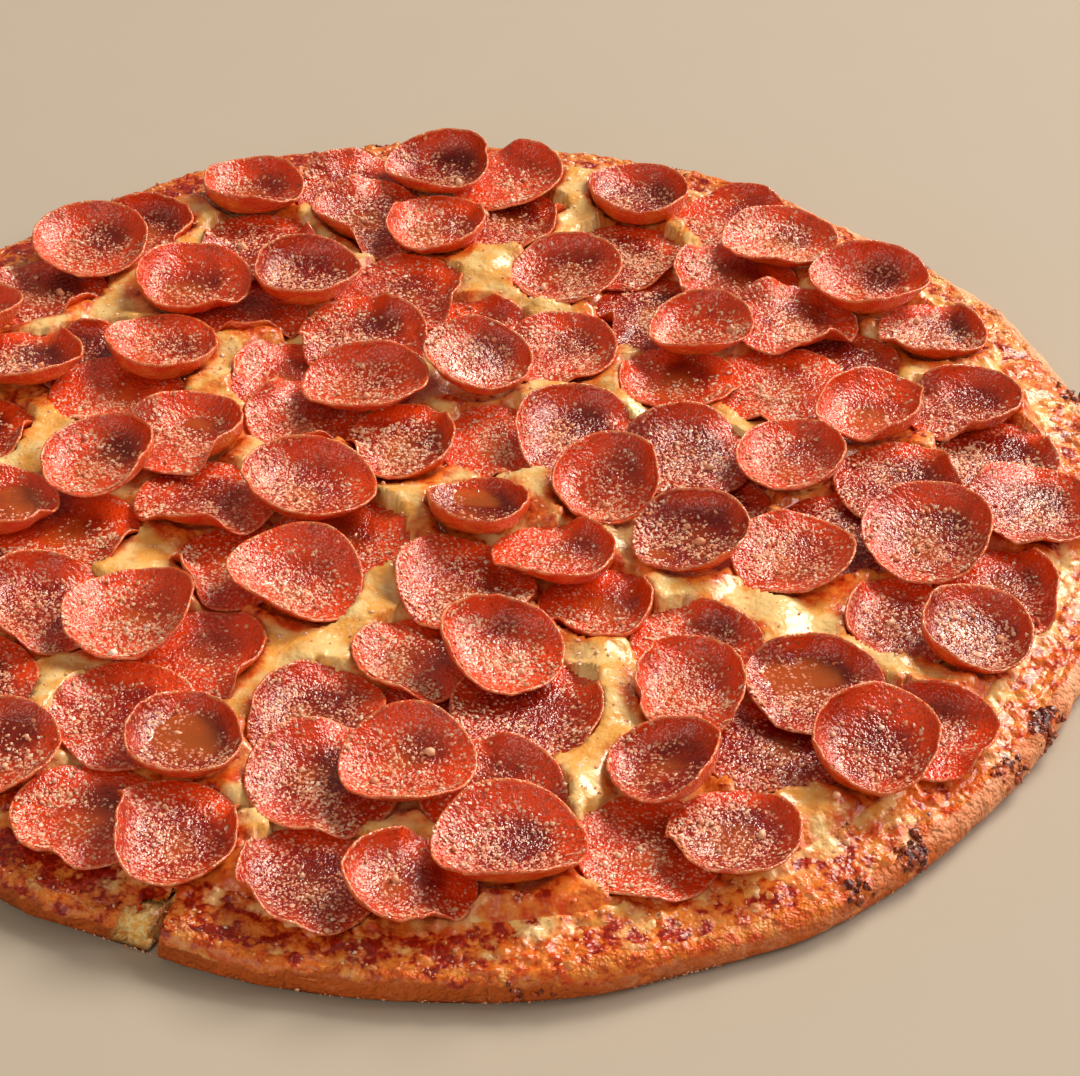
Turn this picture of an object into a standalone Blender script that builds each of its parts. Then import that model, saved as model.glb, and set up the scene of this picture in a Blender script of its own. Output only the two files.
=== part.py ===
"""A round thin-crust pizza covered edge to edge with cupped pepperoni slices.

The crust, the sauce, the melted cheese and the pepperoni are built from the bottom up. The slices lie in
rings. Half of them are sunk in the cheese and fused to it. The others are loose solids, each settled on
what lies under it. Metres, +Z up, origin at the middle of the underside.
"""

import math

import bpy
import numpy as np

# Crust, in metres: a 14 inch pizza
PIZZA_RADIUS = 0.1776
CRUST_FLOOR = 0.0065
RIM_TOP = 0.0086
# Waves of the outline and of the rim's height: how many round the pizza, how high, turned by how many degrees
OUTLINE_WAVES = ((3, 0.0010, 11), (4, 0.0011, 18), (5, 0.0009, 2), (9, 0.0005, 25), (16, 0.0004, 8))
RIM_WAVES = ((5, 0.0003, 50), (8, 0.0003, 15), (13, 0.0004, 3), (21, 0.0003, 9))
# The rim's section, from the underside up and over: how far in from the outline, and how high
RIM_SECTION = ((0.0045, 0.0), (0.0015, 0.0006), (0.0001, 0.0028), (0.0, 0.0052), (0.0010, 0.0074))
RIM_CREST = 0.0032
RIM_RELIEF = 0.0010
RIM_SHOULDER = 0.0065
RIM_FOOT = 0.0140
SEGMENTS = 60

# Layers on the crust
GAP = 0.0003
SAUCE_THICKNESS = 0.0008
SAUCE_INSET = 0.0085
CHEESE_THICKNESS = 0.0028
CHEESE_EDGE = 0.0009
CHEESE_INSET = 0.0112
CHEESE_SHOULDER = 0.0190
INSET_WAVES = ((7, 0.0009, 4), (12, 0.0007, 21), (19, 0.0004, 2))

# The nick where a cut reaches the rim, cut out by a wedge that stands from below the crust to above it
NICK_ANGLE = -112.9
NICK_WIDTH = 0.0052
NICK_DEPTH = 0.0125
WEDGE_FOOT = -0.0020
WEDGE_TOP = 0.0130

# Pepperoni: the slice laid flat, and how its wall curls up round a flat middle
SLICE_RADIUS = 0.0183
SLICE_FLAT = 0.0066
SLICE_THICKNESS = 0.0016
SLICE_CURL = 1.32
SLICE_SIDES = 12
FOLD_RISE = 0.0050
LEAST_CURL = 0.04
MOST_CURL = 1.62
# How much the slices differ: each value is drawn between two shares of the one above, or between two sizes
FOLD_SHARE = 0.18
RADIUS_SPREAD = (0.88, 1.06)
CURL_SPREAD = (0.66, 1.20)
FOLDED_CURL_SPREAD = (0.45, 0.60)
FOLD_SPREAD = (0.8, 1.2)
WAVE_SPREADS = ((0.08, 0.42), (0.08, 0.36), (0.03, 0.16))
OVAL = (0.0, 0.035)
FIRST_LEAN = math.radians(6)

# How the slices lie: the rings' spacing, the slices along a ring, and how far each strays
RING_COUNT = 6
RING_START = 0.0145
RING_STEP = 0.0272
SLICES_IN_FIRST_RING = 3
SLICES_MORE_EACH_RING = 6
STRAY = 0.0090
STRAY_ROUND = 0.36
MIXING = 1.7
LOOSE_APART = 0.0262
SUNK_APART = 0.0190
PUSHES = 200
PUSH_SHARE = 0.25
OUTERMOST = 0.1520
SINK = 0.0009
MOST_TILT = math.radians(15)
SEED = 21

# How a slice holds down the wall of one that it lies over: where it starts, and over what overlap it grows
PRESS_REACH = 0.95
PRESS_START = 0.0012
PRESS_RUN = 0.0055
MOST_PRESS = 0.95
PRESS_MARGIN = math.radians(17)
PRESS_FADE = math.radians(28)

# The height map on which the slices settle
MAP_CELL = 0.0008
MAP_HALF = 0.1900
FACET_STEPS = 13
SHEET_ROWS = 13
SHEET_SIDES = 60
FIRST_STEP = math.radians(5)
LAST_STEP = math.radians(0.6)
LEAST_DROP = 0.00001

COLOURS = {
    "crust": ((0.60, 0.30, 0.10), 0.75),
    "sauce": ((0.46, 0.07, 0.02), 0.45),
    "cheese": ((0.83, 0.58, 0.20), 0.38),
    "pepperoni": ((0.47, 0.045, 0.018), 0.32),
}


def waves(table, angle):
    """The sum of a table's waves at an angle, or at an array of angles."""
    return sum(height * np.cos(count * (angle - math.radians(turn))) for count, height, turn in table)


def ring_angles():
    return np.arange(SEGMENTS) * 2 * math.pi / SEGMENTS


def outline_radius(angle):
    return PIZZA_RADIUS + waves(OUTLINE_WAVES, angle)


def outline_middle():
    """The middle of the outline's box, which becomes the origin."""
    angles = ring_angles()
    x = outline_radius(angles) * np.cos(angles)
    y = outline_radius(angles) * np.sin(angles)
    return (x.min() + x.max()) / 2, (y.min() + y.max()) / 2


def bed_height(inset):
    """The crust's top under the toppings: flat, then straight up to the rim's shoulder."""
    slope = (RIM_TOP - CRUST_FLOOR) / (RIM_FOOT - RIM_SHOULDER)
    return CRUST_FLOOR + slope * np.clip(RIM_FOOT - inset, 0, None)


def ring(inset, height):
    """One closed ring of points that follows the outline."""
    angles = ring_angles()
    radius = outline_radius(angles) - inset
    middle = outline_middle()
    x = radius * np.cos(angles) - middle[0]
    y = radius * np.sin(angles) - middle[1]
    return np.stack([x, y, np.broadcast_to(height, angles.shape)], axis=1)


def stacked(rings):
    """Points and faces of a body made of rings, from its underside up and over, with both ends closed."""
    sides = len(rings[0])
    faces = [tuple(reversed(range(sides)))]
    for level in range(len(rings) - 1):
        low, high = level * sides, (level + 1) * sides
        for i in range(sides):
            j = (i + 1) % sides
            faces.append((low + i, low + j, high + j, high + i))
    last = (len(rings) - 1) * sides
    faces.append(tuple(last + i for i in range(sides)))
    return np.concatenate(rings), faces


def crust_shape():
    lift = waves(RIM_WAVES, ring_angles())
    rings = []
    for inset, height in RIM_SECTION:
        rings.append(ring(inset, height + lift * height / RIM_TOP))
    rings.append(ring(RIM_CREST, RIM_TOP + lift))
    rings.append(ring(RIM_SHOULDER, bed_height(RIM_SHOULDER)))
    rings.append(ring(RIM_FOOT, CRUST_FLOOR))
    return stacked(rings)


def layer_shape(inset, foot, thickness, edge, shoulder):
    """A layer that lies on the bed, foot above it: edge thick at its outline and thickness at its shoulder."""
    under = bed_height(inset) + foot
    rings = [
        ring(RIM_FOOT, CRUST_FLOOR + foot),
        ring(inset, under),
        ring(inset, under + edge),
        ring(shoulder, bed_height(shoulder) + foot + thickness),
    ]
    return stacked(rings)


def sauce_shape():
    inset = SAUCE_INSET + waves(INSET_WAVES, -ring_angles())
    return layer_shape(inset, GAP, SAUCE_THICKNESS, SAUCE_THICKNESS, RIM_FOOT)


def cheese_shape():
    inset = CHEESE_INSET + waves(INSET_WAVES, ring_angles())
    return layer_shape(inset, cheese_foot(), CHEESE_THICKNESS, CHEESE_EDGE, CHEESE_SHOULDER)


def cheese_foot():
    return GAP + SAUCE_THICKNESS + GAP


def push_apart(centres, loose):
    """Moves slices that lie too close to each other, loose ones furthest, and keeps them on the pizza."""
    limit = np.where(loose[:, None] & loose[None, :], LOOSE_APART, SUNK_APART)
    for _ in range(PUSHES):
        between = centres[:, None, :] - centres[None, :, :]
        distance = np.linalg.norm(between, axis=2) + np.eye(len(centres))
        short = np.clip(limit - distance, 0, None) * (1 - np.eye(len(centres)))
        centres = centres + PUSH_SHARE * (between / distance[:, :, None] * short[:, :, None]).sum(axis=1)
        radius = np.linalg.norm(centres, axis=1)
        centres = centres * np.minimum(1, OUTERMOST / radius)[:, None]
    return centres


def lay_out(draw):
    """Centres of the slices, ring by ring, and which half is loose: about every second one."""
    centres, scores = [], []
    for level in range(RING_COUNT):
        count = SLICES_IN_FIRST_RING + SLICES_MORE_EACH_RING * level
        turn = draw.uniform(0, 2 * math.pi)
        for i in range(count):
            angle = turn + (i + draw.uniform(-STRAY_ROUND, STRAY_ROUND)) * 2 * math.pi / count
            radius = RING_START + RING_STEP * level + draw.uniform(-STRAY, STRAY)
            centres.append((radius * math.cos(angle), radius * math.sin(angle)))
            scores.append((i + level) % 2 + draw.uniform(0, MIXING))
    loose = np.array(scores) < np.median(scores)
    return push_apart(np.array(centres), loose), loose


def make_slice(draw, centre, loose):
    """One slice's own form: its size, how far its wall curls, the waves of its rim and any fold."""
    folded = loose and draw.uniform() < FOLD_SHARE
    return {
        "centre": centre,
        "loose": bool(loose),
        "radius": SLICE_RADIUS * draw.uniform(*RADIUS_SPREAD),
        "curl": SLICE_CURL * draw.uniform(*(FOLDED_CURL_SPREAD if folded else CURL_SPREAD)),
        "waves": [draw.uniform(*spread) for spread in WAVE_SPREADS],
        "turns": draw.uniform(0, 2 * math.pi, 5),
        "oval": draw.uniform(*OVAL),
        "fold": FOLD_RISE * draw.uniform(*FOLD_SPREAD) if folded else 0.0,
        "lean": draw.uniform(-FIRST_LEAN, FIRST_LEAN, 2),
        "presses": [],
    }


def press_down(slices, order):
    """Notes where a slice that is laid later lies over an earlier one and holds its wall down."""
    for place, index in enumerate(order):
        under = slices[index]
        for later in order[place + 1:]:
            over = slices[later]
            offset = over["centre"] - under["centre"]
            distance = float(np.hypot(*offset))
            reach = PRESS_REACH * (under["radius"] + over["radius"])
            if distance < reach:
                direction = math.atan2(offset[1], offset[0])
                strength = min(MOST_PRESS, (reach - distance + PRESS_START) / PRESS_RUN)
                half_width = math.acos(distance / reach) + PRESS_MARGIN
                under["presses"].append((direction, strength, half_width))


def curl_at(piece, angle):
    """How far the wall has curled up at an angle round the slice, in radians."""
    share = 1.0
    for count, (height, turn) in enumerate(zip(piece["waves"], piece["turns"]), 1):
        share = share + height * np.cos(count * (angle - turn))
    curl = piece["curl"] * share
    for direction, strength, half_width in piece["presses"]:
        away = np.abs((angle - direction + math.pi) % (2 * math.pi) - math.pi)
        fade = np.clip((away - half_width) / PRESS_FADE, 0, 1)
        curl = curl * (1 - strength * (1 - fade * fade * (3 - 2 * fade)))
    return np.clip(curl, LEAST_CURL, MOST_CURL)


def slice_point(piece, along, angle):
    """A point of the slice's middle surface. along is 0 in the centre, 1 where the wall starts, 2 at the rim."""
    flat = SLICE_FLAT * np.clip(along, 0, 1)
    wall = (piece["radius"] - SLICE_FLAT) * np.clip(along - 1, 0, 1)
    bend = curl_at(piece, angle) * np.clip(along - 1, 0.001, 1)
    radius = flat + wall * np.sin(bend) / bend
    radius = radius * (1 + piece["oval"] * np.cos(2 * (angle - piece["turns"][3])))
    x, y = radius * np.cos(angle), radius * np.sin(angle)
    across = radius * np.cos(angle - piece["turns"][4]) / SLICE_RADIUS
    z = wall * (1 - np.cos(bend)) / bend + piece["fold"] * across**2
    return np.stack([x, y, z], axis=-1)


def to_face(slope, angle):
    """From the middle surface to the top face, half the thickness, where the wall slopes up at an angle."""
    inward = np.sin(slope)
    return SLICE_THICKNESS / 2 * np.stack([-inward * np.cos(angle), -inward * np.sin(angle), np.cos(slope)], axis=-1)


def slice_sheet(piece, side):
    """Points spread over the top (side 1) or the underside (side -1) of the slice's curved form."""
    angles = np.arange(SHEET_SIDES) * 2 * math.pi / SHEET_SIDES
    sheet = []
    for along in np.linspace(0, 2, SHEET_ROWS):
        slope = curl_at(piece, angles) * np.clip(along - 1, 0, 1)
        sheet.append(slice_point(piece, along, angles) + side * to_face(slope, angles))
    return np.concatenate(sheet)


def slice_solid(piece):
    """Points and triangles of a slice before it is laid: its top, its underside and the rim between them."""
    angles = (np.arange(SLICE_SIDES) + 0.5) * 2 * math.pi / SLICE_SIDES
    centre, edge, rim = (slice_point(piece, along, angles) for along in (0.0, 1.0, 2.0))
    flat = to_face(0 * angles, angles)
    steep = to_face(curl_at(piece, angles) / 2, angles)
    points = [centre[0] + flat[0], *(edge + flat), *(rim + steep)]
    points += [centre[0] - flat[0], *(edge - flat), *(rim - steep)]
    sides, below = SLICE_SIDES, 1 + 2 * SLICE_SIDES
    faces = []
    for i in range(sides):
        j = (i + 1) % sides
        a, b, c, d = 1 + i, 1 + j, 1 + sides + i, 1 + sides + j
        faces += [(0, a, b), (a, c, d), (a, d, b)]
        faces += [(below, below + b, below + a), (below + a, below + d, below + c)]
        faces += [(below + a, below + b, below + d)]
        faces += [(c, below + c, below + d), (c, below + d, d)]
    return np.array(points), np.array(faces)


def turned(points, lean):
    """Points tilted about X and then about Y by two small angles."""
    cx, sx, cy, sy = math.cos(lean[0]), math.sin(lean[0]), math.cos(lean[1]), math.sin(lean[1])
    about_x = np.array([[1, 0, 0], [0, cx, -sx], [0, sx, cx]])
    about_y = np.array([[cy, 0, sy], [0, 1, 0], [-sy, 0, cy]])
    return points @ (about_y @ about_x).T


def over_facets(points, faces):
    """Points spread evenly over triangles."""
    steps = [(i, j) for i in range(FACET_STEPS + 1) for j in range(FACET_STEPS + 1 - i)]
    share = np.array(steps) / FACET_STEPS
    a, b, c = (points[faces[:, corner]][:, None, :] for corner in range(3))
    spread = a + (b - a) * share[None, :, :1] + (c - a) * share[None, :, 1:]
    return spread.reshape(-1, 3)


def map_cells(points):
    return tuple(np.round((points[:, :2] + MAP_HALF) / MAP_CELL).astype(int).T)


def widened(heights):
    """Each cell raised to the highest of its neighbours, so that nothing slips between samples."""
    high = heights.copy()
    for shift in ((1, 0), (-1, 0), (0, 1), (0, -1)):
        high = np.maximum(high, np.roll(heights, shift, axis=(0, 1)))
    return high


def bed_maps():
    """Height maps of what the slices settle on: the firm crust and sauce, and the soft cheese."""
    steps = np.arange(2 * round(MAP_HALF / MAP_CELL) + 1) * MAP_CELL - MAP_HALF
    x, y = np.meshgrid(steps, steps, indexing="ij")
    inset = outline_radius(np.arctan2(y, x)) - np.hypot(x, y)
    firm = np.where(inset > RIM_SHOULDER, bed_height(inset) + cheese_foot(), RIM_TOP + RIM_RELIEF)
    soft = np.where(inset > CHEESE_INSET, bed_height(inset) + cheese_foot() + CHEESE_THICKNESS, 0.0)
    return firm * (inset > 0), soft


def settle(slices, order):
    """Lays each slice on what is there: it leans the way that brings it lowest. Sunk ones go into the cheese."""
    firm, soft = bed_maps()
    for index in order:
        piece = slices[index]
        points, faces = slice_solid(piece)
        under_faces = faces[(faces >= len(points) // 2).any(axis=1)]
        under = np.concatenate([over_facets(points, under_faces), slice_sheet(piece, -1)])
        firm_high, soft_high = widened(firm), widened(soft)
        clear = GAP if piece["loose"] else -SINK

        def resting_height(lean):
            there = turned(under, lean) + [*piece["centre"], 0]
            cells = map_cells(there)
            on_firm = (firm_high[cells] - there[:, 2]).max() + GAP
            on_soft = (soft_high[cells] - there[:, 2]).max() + clear
            return max(on_firm, on_soft)

        lean = piece["lean"]
        best = resting_height(lean)
        step = FIRST_STEP
        while step > LAST_STEP:
            tries = [lean + step * np.array(way) for way in ((1, 0), (-1, 0), (0, 1), (0, -1))]
            tries = [t for t in tries if np.abs(t).max() < MOST_TILT]
            heights = [resting_height(t) for t in tries]
            if min(heights) < best - LEAST_DROP:
                lean, best = tries[int(np.argmin(heights))], min(heights)
            else:
                step /= 2
        piece["lean"], piece["height"] = lean, best
        laid = laid_points(piece, np.concatenate([over_facets(points, faces), slice_sheet(piece, 1)]))
        np.maximum.at(firm if piece["loose"] else soft, map_cells(laid), laid[:, 2])


def laid_points(piece, points):
    return turned(points, piece["lean"]) + [*piece["centre"], piece["height"]]


def make_slices():
    """All slices, laid: the sunk ones first, and then the loose ones."""
    draw = np.random.default_rng(SEED)
    centres, loose = lay_out(draw)
    slices = [make_slice(draw, centre, free) for centre, free in zip(centres, loose)]
    shuffled = draw.permutation(len(slices))
    order = [i for i in shuffled if not loose[i]] + [i for i in shuffled if loose[i]]
    press_down(slices, order)
    settle(slices, order)
    return slices


def material(name):
    colour, roughness = COLOURS[name]
    made = bpy.data.materials.get(name) or bpy.data.materials.new(name)
    made.use_nodes = True
    shader = made.node_tree.nodes["Principled BSDF"]
    shader.inputs["Base Color"].default_value = (*colour, 1)
    shader.inputs["Roughness"].default_value = roughness
    shader.inputs["Metallic"].default_value = 0
    made.diffuse_color = (*colour, 1)
    return made


def add_object(name, points, faces, finish, collection=None):
    mesh = bpy.data.meshes.new(name)
    mesh.from_pydata([tuple(p) for p in points], [], [tuple(int(i) for i in f) for f in faces])
    mesh.materials.append(material(finish))
    mesh.validate()
    made = bpy.data.objects.new(name, mesh)
    (collection or bpy.context.scene.collection).objects.link(made)
    return made


def nick_cutter():
    """A wedge that stands across the rim where the cut comes out."""
    angle = math.radians(NICK_ANGLE)
    outward = np.array([math.cos(angle), math.sin(angle), 0])
    side = np.array([-math.sin(angle), math.cos(angle), 0])
    tip = outward * (outline_radius(angle) - NICK_DEPTH)
    mouth = outward * (outline_radius(angle) + NICK_WIDTH)
    spread = NICK_WIDTH / 2 * (NICK_DEPTH + NICK_WIDTH) / NICK_DEPTH
    corners = [tip, mouth + spread * side, mouth - spread * side]
    points = [c + [0, 0, height] for height in (WEDGE_FOOT, WEDGE_TOP) for c in corners]
    faces = [(0, 1, 2), (5, 4, 3), (0, 3, 4, 1), (1, 4, 5, 2), (2, 5, 3, 0)]
    cutter = add_object("nick_cutter", points, faces, "crust")
    cutter.hide_render = True
    cutter.display_type = "WIRE"
    return cutter


def cut_with(target, cutter):
    cut = target.modifiers.new("Nick", "BOOLEAN")
    cut.operation = "DIFFERENCE"
    cut.object = cutter


def fuse(target, collection):
    """Joins a collection's objects to the target in one union, and removes them."""
    union = target.modifiers.new("Fused", "BOOLEAN")
    union.operation = "UNION"
    union.operand_type = "COLLECTION"
    union.collection = collection
    union.solver = "MANIFOLD"
    with bpy.context.temp_override(object=target, active_object=target):
        bpy.ops.object.modifier_apply(modifier=union.name)
    for sunk in list(collection.objects):
        bpy.data.objects.remove(sunk)
    bpy.data.collections.remove(collection)


def build():
    for old in list(bpy.data.objects):
        bpy.data.objects.remove(old)
    crust = add_object("crust", *crust_shape(), "crust")
    sauce = add_object("sauce", *sauce_shape(), "sauce")
    cheese = add_object("cheese", *cheese_shape(), "cheese")
    sunk = bpy.data.collections.new("sunk_slices")
    bpy.context.scene.collection.children.link(sunk)
    number = 0
    for piece in make_slices():
        points, faces = slice_solid(piece)
        laid = laid_points(piece, points)
        if piece["loose"]:
            number += 1
            slice_object = add_object(f"pepperoni_{number:02d}", laid, faces, "pepperoni")
            slice_object.data.shade_smooth()
            slice_object.data.set_sharp_from_angle(angle=math.radians(50))
        else:
            add_object("sunk_slice", laid, faces, "pepperoni", sunk)
    fuse(cheese, sunk)
    cutter = nick_cutter()
    for layer in (crust, sauce, cheese):
        cut_with(layer, cutter)


build()
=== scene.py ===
import math

import bpy
import numpy as np
from mathutils import Matrix, Vector


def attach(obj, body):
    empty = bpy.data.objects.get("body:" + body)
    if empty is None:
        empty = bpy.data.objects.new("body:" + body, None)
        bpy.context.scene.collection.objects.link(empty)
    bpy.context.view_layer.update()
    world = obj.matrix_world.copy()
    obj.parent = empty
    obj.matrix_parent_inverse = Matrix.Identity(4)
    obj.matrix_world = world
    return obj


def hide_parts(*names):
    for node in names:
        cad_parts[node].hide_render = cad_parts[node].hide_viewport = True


# A whole thin-crust pizza covered with cupped pepperoni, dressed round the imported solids. Metres throughout.
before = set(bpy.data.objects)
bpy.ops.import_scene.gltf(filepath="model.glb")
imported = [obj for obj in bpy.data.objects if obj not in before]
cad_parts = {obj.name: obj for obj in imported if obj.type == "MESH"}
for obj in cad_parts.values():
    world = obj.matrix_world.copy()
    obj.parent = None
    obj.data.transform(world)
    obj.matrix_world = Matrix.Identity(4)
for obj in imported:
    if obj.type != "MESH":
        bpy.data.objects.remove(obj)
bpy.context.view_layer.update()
print("frame loaded:", len(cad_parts), "nodes")

# The crust's form, as on the solid
pizza = {
    "radius": 0.1776,
    "floor": 0.0065,
    "rimTop": 0.0086,
    "rimRelief": 0.0010,
    "shoulder": 0.0065,
    "foot": 0.0140,
    "outlineWaves": ((3, 0.0010, 11), (4, 0.0011, 18), (5, 0.0009, 2), (9, 0.0005, 25), (16, 0.0004, 8)),
    "rimWaves": ((5, 0.0003, 50), (8, 0.0003, 15), (13, 0.0004, 3), (21, 0.0003, 9)),
    "outlineSteps": 60,
    "gap": 0.0003,
    "sauce": 0.0008,
    "cheese": 0.0028,
    "cheeseInset": 0.0112,
    "nickAngle": math.radians(-112.9),
    "nickWidth": 0.0038,
    "nickDepth": 0.0125,
}
cheeseFoot = 2 * pizza["gap"] + pizza["sauce"]
fullTurn = 2 * math.pi
fourWays = ((1, 0), (-1, 0), (0, 1), (0, -1))


def around(steps, shift=0):  # angles spread evenly over a full turn
    return (np.arange(steps) + shift) * fullTurn / steps


def turnBetween(angle, other):
    return np.abs((angle - other + math.pi) % fullTurn - math.pi)


def waves(table, angle):
    return sum(height * np.cos(count * (angle - math.radians(turn))) for count, height, turn in table)


def outlineRadius(angle):
    return pizza["radius"] + waves(pizza["outlineWaves"], angle)


def outlineMiddle():
    angles = around(pizza["outlineSteps"])
    x = outlineRadius(angles) * np.cos(angles)
    y = outlineRadius(angles) * np.sin(angles)
    return np.array([(x.min() + x.max()) / 2, (y.min() + y.max()) / 2])


def bedHeight(inset):
    slope = (pizza["rimTop"] - pizza["floor"]) / (pizza["foot"] - pizza["shoulder"])
    return pizza["floor"] + slope * np.clip(pizza["foot"] - inset, 0, None)


def insetAt(x, y):  # how far a point lies in from the outline
    x, y = x + middle[0], y + middle[1]
    return outlineRadius(np.arctan2(y, x)) - np.hypot(x, y)


middle = outlineMiddle()


# Small tools for shapes
def ease(value, low, high):
    t = np.clip((value - low) / (high - low), 0, 1)
    return t * t * (3 - 2 * t)


def fall(value, low, high):
    return 1 - ease(value, low, high)


def cellNumber(cell, seed):  # a fixed random number from -1 to 1 for each cell of a lattice
    mixed = cell[..., 0] * 73856093 ^ cell[..., 1] * 19349663 ^ cell[..., 2] * 83492791 ^ seed * 668265263
    mixed = (mixed ^ (mixed >> 13)) * 1274126177 & 0x7FFFFFFF
    mixed = (mixed ^ (mixed >> 11)) * 22695477 & 0x7FFFFFFF
    return mixed / 0x3FFFFFFF - 1


def ripples(points, size, seed):  # smooth noise from -1 to 1, with features of that size
    place = points / size
    cell = np.floor(place).astype(np.int64)
    share = place - cell
    share = share * share * (3 - 2 * share)
    total = 0
    for corner in np.ndindex(2, 2, 2):
        weight = np.prod(np.where(corner, share, 1 - share), axis=-1)
        total = total + weight * cellNumber(cell + corner, seed)
    return total


def layered(points, table, seed):  # several ripples, each with its size and height
    return sum(height * ripples(points, size, seed + i) for i, (size, height) in enumerate(table))


def flat(x, y):
    return np.stack([x, y, np.zeros_like(x)], axis=-1)


# How the slices lie, by the same rule and draws as on the solids
slices = {
    "radius": 0.0183,
    "flat": 0.0066,
    "thickness": 0.0016,
    "curl": 1.32,
    "sides": 12,
    "foldRise": 0.0050,
    "leastCurl": 0.04,
    "mostCurl": 1.62,
    "foldShare": 0.18,
    "radiusSpread": (0.88, 1.06),
    "curlSpread": (0.66, 1.20),
    "foldedCurlSpread": (0.45, 0.60),
    "foldSpread": (0.8, 1.2),
    "waveSpreads": ((0.08, 0.42), (0.08, 0.36), (0.03, 0.16)),
    "oval": (0.0, 0.035),
    "firstLean": math.radians(6),
    "rings": 6,
    "ringStart": 0.0145,
    "ringStep": 0.0272,
    "firstRing": 3,
    "moreEachRing": 6,
    "stray": 0.0090,
    "strayRound": 0.36,
    "mixing": 1.7,
    "looseApart": 0.0262,
    "sunkApart": 0.0190,
    "pushes": 200,
    "pushShare": 0.25,
    "outermost": 0.1520,
    "sink": 0.0009,
    "mostTilt": math.radians(15),
    "seed": 21,
    "pressReach": 0.95,
    "pressStart": 0.0012,
    "pressRun": 0.0055,
    "mostPress": 0.95,
    "pressMargin": math.radians(17),
    "pressFade": math.radians(28),
    "mapCell": 0.0008,
    "mapHalf": 0.1900,
    "facetSteps": 13,
    "sheetRows": 13,
    "sheetSides": 60,
    "firstStep": math.radians(5),
    "lastStep": math.radians(0.6),
    "leastDrop": 0.00001,
    "looseHold": -0.0003,
    "sunkHold": 0.0002,
}
mapSize = 2 * round(slices["mapHalf"] / slices["mapCell"]) + 1


def pushApart(centres, loose):
    limit = np.where(loose[:, None] & loose[None, :], slices["looseApart"], slices["sunkApart"])
    for _ in range(slices["pushes"]):
        between = centres[:, None, :] - centres[None, :, :]
        distance = np.linalg.norm(between, axis=2) + np.eye(len(centres))
        short = np.clip(limit - distance, 0, None) * (1 - np.eye(len(centres)))
        push = (between / distance[:, :, None] * short[:, :, None]).sum(axis=1)
        centres = centres + slices["pushShare"] * push
        radius = np.linalg.norm(centres, axis=1)
        centres = centres * np.minimum(1, slices["outermost"] / radius)[:, None]
    return centres


def layOut(draw):
    centres, scores = [], []
    for level in range(slices["rings"]):
        count = slices["firstRing"] + slices["moreEachRing"] * level
        turn = draw.uniform(0, fullTurn)
        for i in range(count):
            stray = draw.uniform(-slices["strayRound"], slices["strayRound"])
            angle = turn + (i + stray) * fullTurn / count
            stray = draw.uniform(-slices["stray"], slices["stray"])
            radius = slices["ringStart"] + slices["ringStep"] * level + stray
            centres.append((radius * math.cos(angle), radius * math.sin(angle)))
            scores.append((i + level) % 2 + draw.uniform(0, slices["mixing"]))
    loose = np.array(scores) < np.median(scores)
    return pushApart(np.array(centres), loose), loose


def drawSlice(draw, centre, loose):
    folded = loose and draw.uniform() < slices["foldShare"]
    return {
        "centre": centre,
        "loose": bool(loose),
        "radius": slices["radius"] * draw.uniform(*slices["radiusSpread"]),
        "curl": slices["curl"] * draw.uniform(*slices["foldedCurlSpread" if folded else "curlSpread"]),
        "waves": [draw.uniform(*spread) for spread in slices["waveSpreads"]],
        "turns": draw.uniform(0, fullTurn, 5),
        "oval": draw.uniform(*slices["oval"]),
        "fold": slices["foldRise"] * draw.uniform(*slices["foldSpread"]) if folded else 0.0,
        "lean": draw.uniform(-slices["firstLean"], slices["firstLean"], 2),
        "presses": [],
    }


def pressDown(laid, order):  # a later slice holds down the wall of one under it
    for place, index in enumerate(order):
        under = laid[index]
        for later in order[place + 1:]:
            over = laid[later]
            offset = over["centre"] - under["centre"]
            distance = float(np.hypot(*offset))
            reach = slices["pressReach"] * (under["radius"] + over["radius"])
            if distance < reach:
                strength = (reach - distance + slices["pressStart"]) / slices["pressRun"]
                strength = min(slices["mostPress"], strength)
                halfWidth = math.acos(distance / reach) + slices["pressMargin"]
                under["presses"].append((math.atan2(offset[1], offset[0]), strength, halfWidth))


def curlAt(piece, angle):
    turns = piece["turns"]
    swing = sum(w * np.cos((i + 1) * (angle - turns[i])) for i, w in enumerate(piece["waves"]))
    curl = piece["curl"] * (1 + swing)
    for direction, strength, halfWidth in piece["presses"]:
        away = turnBetween(angle, direction)
        fade = np.clip((away - halfWidth) / slices["pressFade"], 0, 1)
        curl = curl * (1 - strength * (1 - fade * fade * (3 - 2 * fade)))
    return np.clip(curl, slices["leastCurl"], slices["mostCurl"])


def slicePoint(piece, along, angle):  # along is 0 in the centre, 1 where the wall starts, 2 at the rim
    level = slices["flat"] * np.clip(along, 0, 1)
    wall = (piece["radius"] - slices["flat"]) * np.clip(along - 1, 0, 1)
    bend = curlAt(piece, angle) * np.clip(along - 1, 0.001, 1)
    radius = level + wall * np.sin(bend) / bend
    radius = radius * (1 + piece["oval"] * np.cos(2 * (angle - piece["turns"][3])))
    across = radius * np.cos(angle - piece["turns"][4]) / slices["radius"]
    z = wall * (1 - np.cos(bend)) / bend + piece["fold"] * across**2
    return np.stack([radius * np.cos(angle), radius * np.sin(angle), z], axis=-1)


def faceNormal(slope, angle):  # the top face's normal where the wall slopes up
    inward = np.sin(slope)
    return np.stack([-inward * np.cos(angle), -inward * np.sin(angle), np.cos(slope)], axis=-1)


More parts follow.
